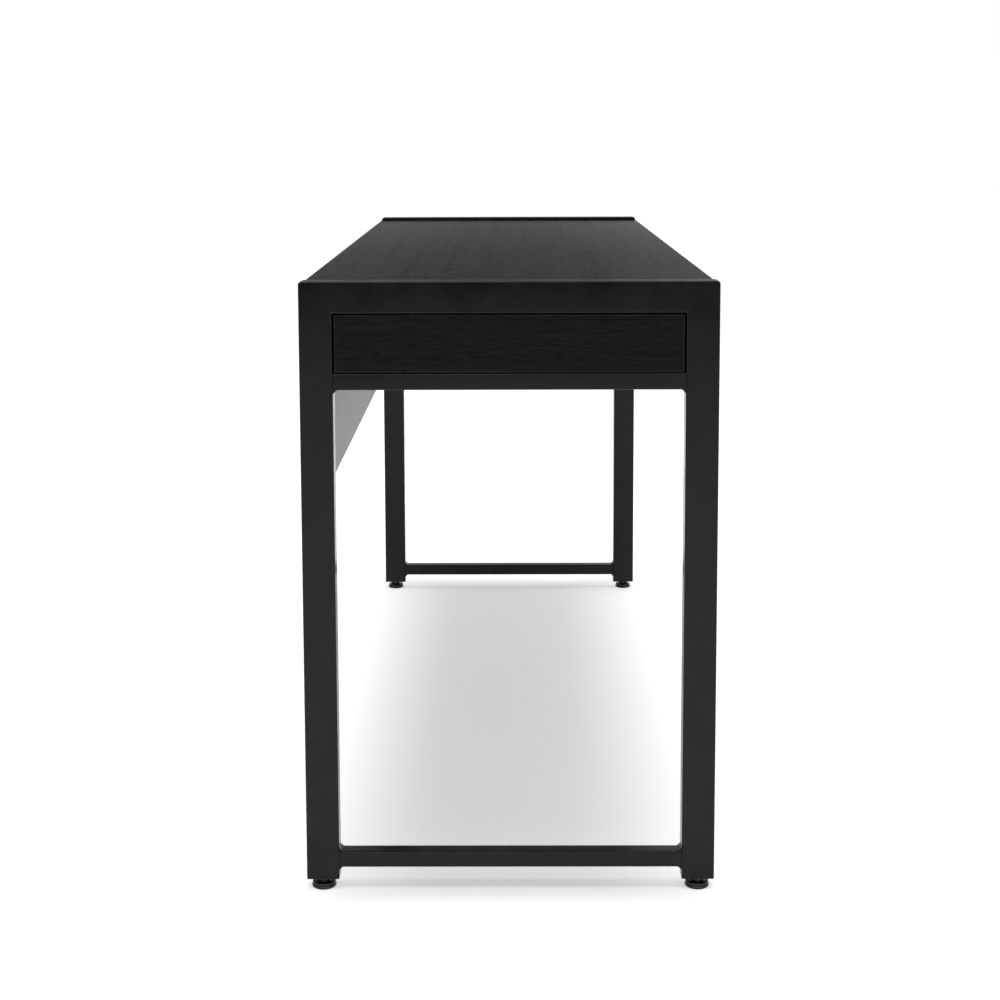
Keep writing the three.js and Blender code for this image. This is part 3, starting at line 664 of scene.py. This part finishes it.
# On the drawer fronts the evenness lays the edge colour along every edge as a painted
# highlight.
FRONT_EDGE_WEAR_AND_HIGHLIGHT = (0.003, 0.6, 1.0)
OAK_WEAR_AND_HIGHLIGHT_COLOUR = (0.05, 0.046, 0.041, 1)
OAK_DEPTH = 0.00006
COAT_ROUGHNESS = 0.085
QUARTER_TURN = (0, 0, math.pi / 2)
OAK_FIGURE = (0.9, 48, 48)  # lumps to the metre along the grain and across it
OAK_FIBRES = (30, 360, 360)
OAK_PORES = (60, 800, 800)
OAK_WAVES = (60, 90, 90)  # how thick the lacquer lies
OAK_FIGURE_SHARE = 0.45  # of the tone, and the fibres make the rest
TONE_IN_PORES = 0.35
COAT_IN_PORES = 0.8

oak_grain, given, result = new_group(
    "oak_grain",
    {"Along X": (VECTOR, None)},
    {"Tone": FLOAT, "Waves": FLOAT, "Height": FLOAT},
)
along = given["Along X"]
figure = stretched(oak_grain, along, OAK_FIGURE)
figure = remap(oak_grain, noise(oak_grain, figure, 1.0, 4.0, 0.6, 0.8), 0.34, 0.66)
fibres = noise(oak_grain, stretched(oak_grain, along, OAK_FIBRES), 1.0, 3.0, 0.6)
pores = noise(oak_grain, stretched(oak_grain, along, OAK_PORES), 1.0, 2.0, 0.5)
pore_mask = remap(oak_grain, pores, 0.44, 0.36)
tone = maths(
    oak_grain,
    "ADD",
    maths(oak_grain, "MULTIPLY", figure, OAK_FIGURE_SHARE),
    remap(oak_grain, fibres, 0.36, 0.64, 0.0, 1 - OAK_FIGURE_SHARE),
)
in_pores = remap(oak_grain, pore_mask, 0, 1, 1.0, TONE_IN_PORES)
half_fibres = maths(oak_grain, "MULTIPLY", fibres, 0.5)
height = maths(oak_grain, "SUBTRACT", half_fibres, pore_mask)
waves = noise(oak_grain, stretched(oak_grain, along, OAK_WAVES), 1.0, 2.0, 0.5)
linked(oak_grain, maths(oak_grain, "MULTIPLY", tone, in_pores), result["Tone"])
linked(oak_grain, waves, result["Waves"])
linked(oak_grain, height, result["Height"])


def black_oak(name, turn, gloss, edge, dark, light):
    """Black oak whose grain runs along X after the turn. The stain runs from dark in the
    pores to light between them."""
    material, tree, surface = principled(name)
    specular, coat, roughness = gloss
    radius, painted_highlight, strength = edge
    along = stretched(tree, coordinates(tree)["Object"], (1, 1, 1), turn)
    grain = placed(tree, oak_grain, Along_X=along)
    # The even part of this mask on the drawer fronts is a painted highlight; the patches
    # are wear.
    wear = placed(tree, edge_wear_and_highlight, Radius=radius, Breakup=70.0, Evenness=painted_highlight)
    stain = blended(tree, grain["Tone"], dark, light)
    surfaced(
        tree,
        surface,
        worn(tree, wear, strength, stain, OAK_WEAR_AND_HIGHLIGHT_COLOUR),
        remap(tree, grain["Tone"], 0, 1, roughness + 0.04, roughness - 0.02),
        grain["Height"],
        OAK_DEPTH,
        wear["Normal"],
    )
    surface["Specular IOR Level"].default_value = specular
    surface["Coat Roughness"].default_value = COAT_ROUGHNESS
    if coat:
        cover = remap(tree, grain["Waves"], 0.3, 0.7, 0.9 * coat, 1.1 * coat)
        thinned = remap(tree, grain["Tone"], 0, 0.3, COAT_IN_PORES, 1.0)
        linked(tree, maths(tree, "MULTIPLY", cover, thinned), surface["Coat Weight"])
    return material


oak_long = black_oak("black_oak_long", (0, 0, 0), TOP_GLOSS, TOP_EDGE, *TOP_STAIN)
oak_front = black_oak(
    "black_oak_across", QUARTER_TURN, FRONT_GLOSS, FRONT_EDGE_WEAR_AND_HIGHLIGHT, *FRONT_STAIN
)
coat_nodes(oak_long, ["tabletop", "front_apron", "back_apron"])
coat_nodes(oak_front, [f"{end}_drawer_front" for end in ENDS])

# ---- Modesty panel ----
# A plain board in satin black lacquer, hung under the back lower rail on two steel
# plates. The sheet that closes the case from below is lacquered in the same way.
LACQUER_COLOUR = (0.008, 0.0078, 0.0075, 1)
LACQUER_EDGE_COLOUR = (0.03, 0.028, 0.026, 1)
LACQUER_EDGE = (0.0008, 70.0, 0.3)
LACQUER_TEXTURE = (500.0, 40.0, 0.00002)
LACQUER_GLOSS = (0.325, 0.345)
LACQUER_SHINE = 0.19

lacquer, surface = textured(
    "satin_lacquer",
    LACQUER_EDGE,
    LACQUER_TEXTURE,
    (LACQUER_COLOUR, LACQUER_COLOUR),
    LACQUER_EDGE_COLOUR,
    LACQUER_GLOSS,
)
surface["Specular IOR Level"].default_value = LACQUER_SHINE
coat_nodes(lacquer, ["modesty_panel", "base_sheet"])

# ---- Drawer boxes and hidden boards ----
# The drawer sides and backs are solid birch, dovetailed and oiled. The drawer bottoms,
# the guide boards and the rails across the case are birch plywood, whose layers show at
# its edges.
BIRCH_COLOURS = ((0.5, 0.355, 0.205, 1), (0.63, 0.485, 0.31, 1))
BIRCH_EDGE_COLOUR = (0.7, 0.58, 0.42, 1)
BIRCH_WEAR = 0.25
BIRCH_GLOSS = (0.58, 0.46)
BIRCH_SHINE = 0.35
BIRCH_DEPTH = 0.00005
BIRCH_FIGURE = (1.6, 26, 26)
BIRCH_FIBRES = (16, 620, 620)
BIRCH_FIGURE_SHARE = 0.6
END_GRAIN = (0.36, 0.24, 0.135, 1)
PLY_DARK = (0.3, 0.19, 0.1, 1)
PLY_PITCH = 0.0028  # a light layer and a dark one
PLY_WANDER = 0.0004  # how far the layers stray

birch_grain, given, result = new_group(
    "birch_grain", {"Along X": (VECTOR, None)}, {"Tone": FLOAT, "Height": FLOAT}
)
figure = stretched(birch_grain, given["Along X"], BIRCH_FIGURE)
figure = remap(birch_grain, noise(birch_grain, figure, 1.0, 4.0, 0.55, 0.9), 0.32, 0.68)
fibres = stretched(birch_grain, given["Along X"], BIRCH_FIBRES)
fibres = noise(birch_grain, fibres, 1.0, 3.0, 0.6)
tone = maths(
    birch_grain,
    "ADD",
    maths(birch_grain, "MULTIPLY", figure, BIRCH_FIGURE_SHARE),
    remap(birch_grain, fibres, 0.3, 0.7, 0.0, 1 - BIRCH_FIGURE_SHARE),
)
linked(birch_grain, tone, result["Tone"])
linked(birch_grain, fibres, result["Height"])

ply_layers, given, result = new_group(
    "ply_layers", {"Depth": (FLOAT, 0.0), "Along X": (VECTOR, None)}, {"Dark": FLOAT}
)
wander = noise(ply_layers, given["Along X"], 9.0, 2.0)
wander = maths(ply_layers, "MULTIPLY", wander, PLY_WANDER)
depth = maths(ply_layers, "ADD", given["Depth"], wander)
share = maths(ply_layers, "FRACT", maths(ply_layers, "DIVIDE", depth, PLY_PITCH))
middle = maths(ply_layers, "ABSOLUTE", maths(ply_layers, "SUBTRACT", share, 0.5))
linked(ply_layers, remap(ply_layers, middle, 0.2, 0.3), result["Dark"])


def birch_board(name, grain, layers=None):
    """Birch with its grain along one axis. A plywood board has layers along another."""
    material, tree, surface = principled(name)
    turn = QUARTER_TURN if grain == "Y" else (0, 0, 0)
    along = stretched(tree, coordinates(tree)["Object"], (1, 1, 1), turn)
    wood = placed(tree, birch_grain, Along_X=along)
    wear = placed(tree, edge_wear_and_highlight, Radius=0.0007, Breakup=90.0)
    colour = blended(tree, wood["Tone"], *BIRCH_COLOURS)
    facing = split(tree, coordinates(tree)["Normal"])
    if layers:
        depth = split(tree, coordinates(tree)["Object"])[layers]
        plies = placed(tree, ply_layers, Depth=depth, Along_X=along)
        edge = remap(tree, maths(tree, "ABSOLUTE", facing[layers]), 0.6, 0.4)
        dark = maths(tree, "MULTIPLY", plies["Dark"], edge)
        colour = blended(tree, dark, colour, PLY_DARK)
    else:
        end = remap(tree, maths(tree, "ABSOLUTE", facing[grain]), 0.6, 0.9, 0, 0.8)
        colour = blended(tree, end, colour, END_GRAIN)
    surfaced(
        tree,
        surface,
        worn(tree, wear, BIRCH_WEAR, colour, BIRCH_EDGE_COLOUR),
        remap(tree, wood["Tone"], 0, 1, *BIRCH_GLOSS),
        wood["Height"],
        BIRCH_DEPTH,
        wear["Normal"],
    )
    surface["Specular IOR Level"].default_value = BIRCH_SHINE
    return material


birch_along = birch_board("birch_along", "X")
birch_across = birch_board("birch_across", "Y")
ply_bottom = birch_board("ply_bottom", "Y", "Z")
ply_upright = birch_board("ply_upright", "X", "Y")
ply_rail = birch_board("ply_rail", "Y", "X")
coat_nodes(ply_upright, [f"{row}_guide_board" for row in ROWS])
for end in ENDS:
    coat_nodes(ply_rail, [f"{end}_cross_rail"])
    coat_nodes(ply_bottom, [f"{end}_drawer_bottom"])
    coat_nodes(birch_across, [f"{end}_drawer_back"])
    coat_nodes(birch_along, [f"{end}_drawer_{row}_side" for row in ROWS])

# ---- Runners and joining plates ----
# Ball-bearing runners rolled from zinc-plated steel strip, with fine lines along it from
# the mill, and the two plates that hang the modesty panel. The runners' front ends are
# painted black as shade, so that the gap beside the drawer front reads as dark as shade.
ZINC_COLOURS = ((0.37, 0.38, 0.4, 1), (0.45, 0.45, 0.45, 1))
ZINC_EDGE_COLOUR = (0.6, 0.6, 0.61, 1)
ZINC_WEAR = 0.3
ZINC_GLOSS = (0.26, 0.4)
ZINC_DEPTH = 0.00002
# Painted shade: the runners' front ends are black where they show in the gap beside the
# drawer fronts.
GAP_SHADE_COLOUR = (0.004, 0.004, 0.004, 1)
GAP_SHADE_LENGTH = 0.01
GAP_SHADE_FADE = 0.0004
ROLLED_LINES = (8, 1500, 1500)  # lumps to the metre along the strip and across it

rolled_lines, given, result = new_group(
    "rolled_lines", {"Lines": (FLOAT, 1.0)}, {"Height": FLOAT}
)
strip = stretched(rolled_lines, coordinates(rolled_lines)["Object"], ROLLED_LINES)
lines = noise(rolled_lines, strip, given["Lines"], 2.0, 0.6)
linked(rolled_lines, lines, result["Height"])

zinc, tree, surface = principled("zinc_plate")
wear = placed(tree, edge_wear_and_highlight, Radius=0.0003, Breakup=450.0)
texture = placed(tree, fine_texture, Lumps=260.0, Cloud_Scale=24.0)
lines = placed(tree, rolled_lines, Lines=1.0)
plating = blended(tree, texture["Clouds"], *ZINC_COLOURS)
plating = worn(tree, wear, ZINC_WEAR, plating, ZINC_EDGE_COLOUR)
from_middle = maths(tree, "ABSOLUTE", split(tree, coordinates(tree)["Object"])["X"])
runner_front = abs(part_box("left_front_runner_cabinet_member")[0].x)
gap_shade_start = runner_front - GAP_SHADE_LENGTH
# Painted shade over the runners' front ends, fading in over a short length.
gap_shade_mask = remap(tree, from_middle, gap_shade_start, gap_shade_start + GAP_SHADE_FADE)
surfaced(
    tree,
    surface,
    blended(tree, gap_shade_mask, plating, GAP_SHADE_COLOUR),
    remap(tree, lines["Height"], 0.3, 0.7, *ZINC_GLOSS),
    lines["Height"],
    ZINC_DEPTH,
    wear["Normal"],
)
surface["Metallic"].default_value = 1.0
RUNNERS = [(end, row) for end in ENDS for row in ROWS]
RUNNER_PARTS = [
    f"{end}_{row}_runner_{member}_member"
    for member in ("cabinet", "middle", "drawer")
    for end, row in RUNNERS
]
coat_nodes(zinc, [f"{end}_joining_plate" for end in ENDS] + RUNNER_PARTS)
shade_round(RUNNER_PARTS)

# ---- Screws ----
# Zinc-plated pan heads with a cross recess: three through each fixed member of a runner
# and three through each drawer member, and four through each joining plate.
SCREW_ANGLES = 64
SCREW_RINGS = 20
SCREW_SEAT = -0.0001  # how far a head goes into what it holds
DOME_POWER = 2.6
DOME_DROP = 0.55  # of the head's height, at its rim
RECESS_ARM = (0.17, 0.6)  # half width and length of an arm, over the head's radius
RECESS_SLOPE = 0.08
RUNNER_SHEET = 0.0012
CABINET_SCREW = (0.0032, 0.00035, 0.0002)  # radius, height and recess depth of a head
DRAWER_SCREW = (0.0036, 0.0015, 0.0009)
PLATE_SCREW = (0.0042, 0.0022, 0.0012)
CABINET_SPACING = (0.1, 0.46, 0.9)  # the screws' places, over the member's length
DRAWER_SPACING = (0.08, 0.5, 0.92)
PLATE_INSET = (0.01, 0.009)  # from the plate's ends and from its long edges
SCREW_EDGE_COLOUR = (0.8, 0.8, 0.8, 1)
SCREW_EDGE = (0.0002, 800.0, 0.6)
SCREW_TEXTURE = (2500.0, 200.0, 0.00001)
SCREW_GLOSS = (0.25, 0.35)

screw_zinc, surface = textured(
    "screw_zinc", SCREW_EDGE, SCREW_TEXTURE, ZINC_COLOURS, SCREW_EDGE_COLOUR, SCREW_GLOSS
)
surface["Metallic"].default_value = 1.0


def recess_arm(across, along):
    """1 inside one arm of the cross, falling to 0 over its sloping sides."""
    width, length = RECESS_ARM
    wide = np.clip((width - np.abs(across)) / RECESS_SLOPE, 0, 1)
    return wide * np.clip((length - np.abs(along)) / RECESS_SLOPE, 0, 1)


def screw_head(radius, height, recess_depth):
    """Points of a head on the XY plane with its axis along Z, a ring to each row. The
    dome's height falls with a power of the distance from the middle, and the recess is
    the larger of two crossed arms."""
    angles = np.linspace(0, 2 * np.pi, SCREW_ANGLES, endpoint=False)
    share = np.linspace(0, 1, SCREW_RINGS)[:, None]
    x, y = share * np.cos(angles), share * np.sin(angles)
    cross = np.maximum(recess_arm(x, y), recess_arm(y, x))
    dome = height * (1 - DOME_DROP * share**DOME_POWER) - recess_depth * cross
    top = np.stack((radius * x, radius * y, dome), axis=-1)
    seat = np.full(SCREW_ANGLES, SCREW_SEAT)
    foot = np.stack((top[-1, :, 0], top[-1, :, 1], seat), axis=-1)
    middle = np.stack((0 * seat, 0 * seat, seat), axis=-1)
    return np.concatenate((top, foot[None], middle[None]))


def screws(name, places, outward, size, body):
    """One piece with a screw head at each place, standing out along a signed axis."""
    head = screw_head(*size)
    axis = np.array(outward, float)
    aside = np.array((0, 0, 1.0))
    shape = head.reshape(-1, 3) @ np.array((np.cross(aside, axis), aside, axis))
    points = np.concatenate([shape + place for place in np.array(places)])
    one = grid_faces(*head.shape[:2])
    faces = np.concatenate([one + i * len(shape) for i in range(len(places))])
    piece = mesh_piece(name, points, faces, screw_zinc)
    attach(piece, body)


def spaced(low, high, spacing, y, z):
    """Places along X between two corners of a box."""
    return [(low.x + (high.x - low.x) * share, y, z) for share in spacing]


for end, row in RUNNERS:
    side = ROWS[row]
    low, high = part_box(f"{end}_{row}_runner_cabinet_member")
    middle_z = (low.z + high.z) / 2
    web = (high.y if side > 0 else low.y) - side * RUNNER_SHEET
    places = spaced(low, high, CABINET_SPACING, web, middle_z)
    name = f"{end}_{row}_cabinet_screws"
    screws(name, places, (0, -side, 0), CABINET_SCREW, "frame")
    low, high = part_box(f"{end}_{row}_runner_drawer_member")
    web = (low.y if side > 0 else high.y) + side * RUNNER_SHEET
    places = spaced(low, high, DRAWER_SPACING, web, middle_z)
    name = f"{end}_{row}_drawer_screws"
    screws(name, places, (0, side, 0), DRAWER_SCREW, f"{end}_drawer")
for end in ENDS:
    low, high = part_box(f"{end}_joining_plate")
    places = [
        (x, low.y, z)
        for x in (low.x + PLATE_INSET[0], high.x - PLATE_INSET[0])
        for z in (low.z + PLATE_INSET[1], high.z - PLATE_INSET[1])
    ]
    screws(f"{end}_plate_screws", places, (0, -1, 0), PLATE_SCREW, "frame")

# ---- Latches ----
# Push-to-open latches moulded in grey plastic: a body on a flange with two screws, and
# the plunger that pushes the drawer out.
FLANGE = (0.011, 0.021, 0.0022, 0.003)  # half width, half height, thickness, corners
FLANGE_SCREW = (0.003, 0.0014, 0.0008)
FLANGE_SCREW_RISE = 0.016
GREY_COLOURS = ((0.26, 0.27, 0.28, 1), (0.3, 0.31, 0.32, 1))
GREY_EDGE_COLOUR = (0.42, 0.43, 0.44, 1)
GREY_EDGE = (0.0004, 200.0, 0.4)
GREY_TEXTURE = (1500.0, 30.0, 0.00002)
GREY_GLOSS = (0.4, 0.5)

grey = textured(
    "grey_moulding", GREY_EDGE, GREY_TEXTURE, GREY_COLOURS, GREY_EDGE_COLOUR, GREY_GLOSS
)[0]
coat_nodes(grey, [f"{end}_latch_{part}" for end in ENDS for part in ("body", "plunger")])


def flange_surface(half_y, half_z, thickness, corner, rows=6, columns=64):
    """Points of a flat plate with round corners on the YZ plane, its face towards +X. Its
    edge follows the corner circles, whose centres are set in by the corner radius, and is
    rounded over half the thickness."""
    angles = (np.arange(columns) + 0.5) / columns * 2 * np.pi
    turn = np.linspace(0, np.pi / 2, rows)
    rounding = thickness / 2
    reach = corner - rounding * (1 - np.cos(turn))
    rise = thickness - rounding + rounding * np.sin(turn)
    reach = np.concatenate(([corner], reach, [0]))[:, None]
    rise = np.concatenate(([0], rise, [thickness]))[:, None]
    y = np.sign(np.cos(angles)) * (half_y - corner) + reach * np.cos(angles)
    z = np.sign(np.sin(angles)) * (half_z - corner) + reach * np.sin(angles)
    y[-1], z[-1] = 0, 0
    return np.stack((np.repeat(rise, columns, axis=1), y, z), axis=-1)


for end, side in ENDS.items():
    low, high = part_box(f"{end}_latch_body")
    back_x = low.x if side > 0 else high.x
    middle = np.array((back_x, (low.y + high.y) / 2, (low.z + high.z) / 2))
    points = flange_surface(*FLANGE) * (side, 1, 1) + middle
    faces = grid_faces(*points.shape[:2])[:, ::side]
    piece = mesh_piece(f"{end}_latch_flange", points, faces, grey)
    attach(piece, "frame")
    places = [
        middle + (side * FLANGE[2], 0, rise)
        for rise in (-FLANGE_SCREW_RISE, FLANGE_SCREW_RISE)
    ]
    screws(f"{end}_latch_screws", places, (side, 0, 0), FLANGE_SCREW, "frame")
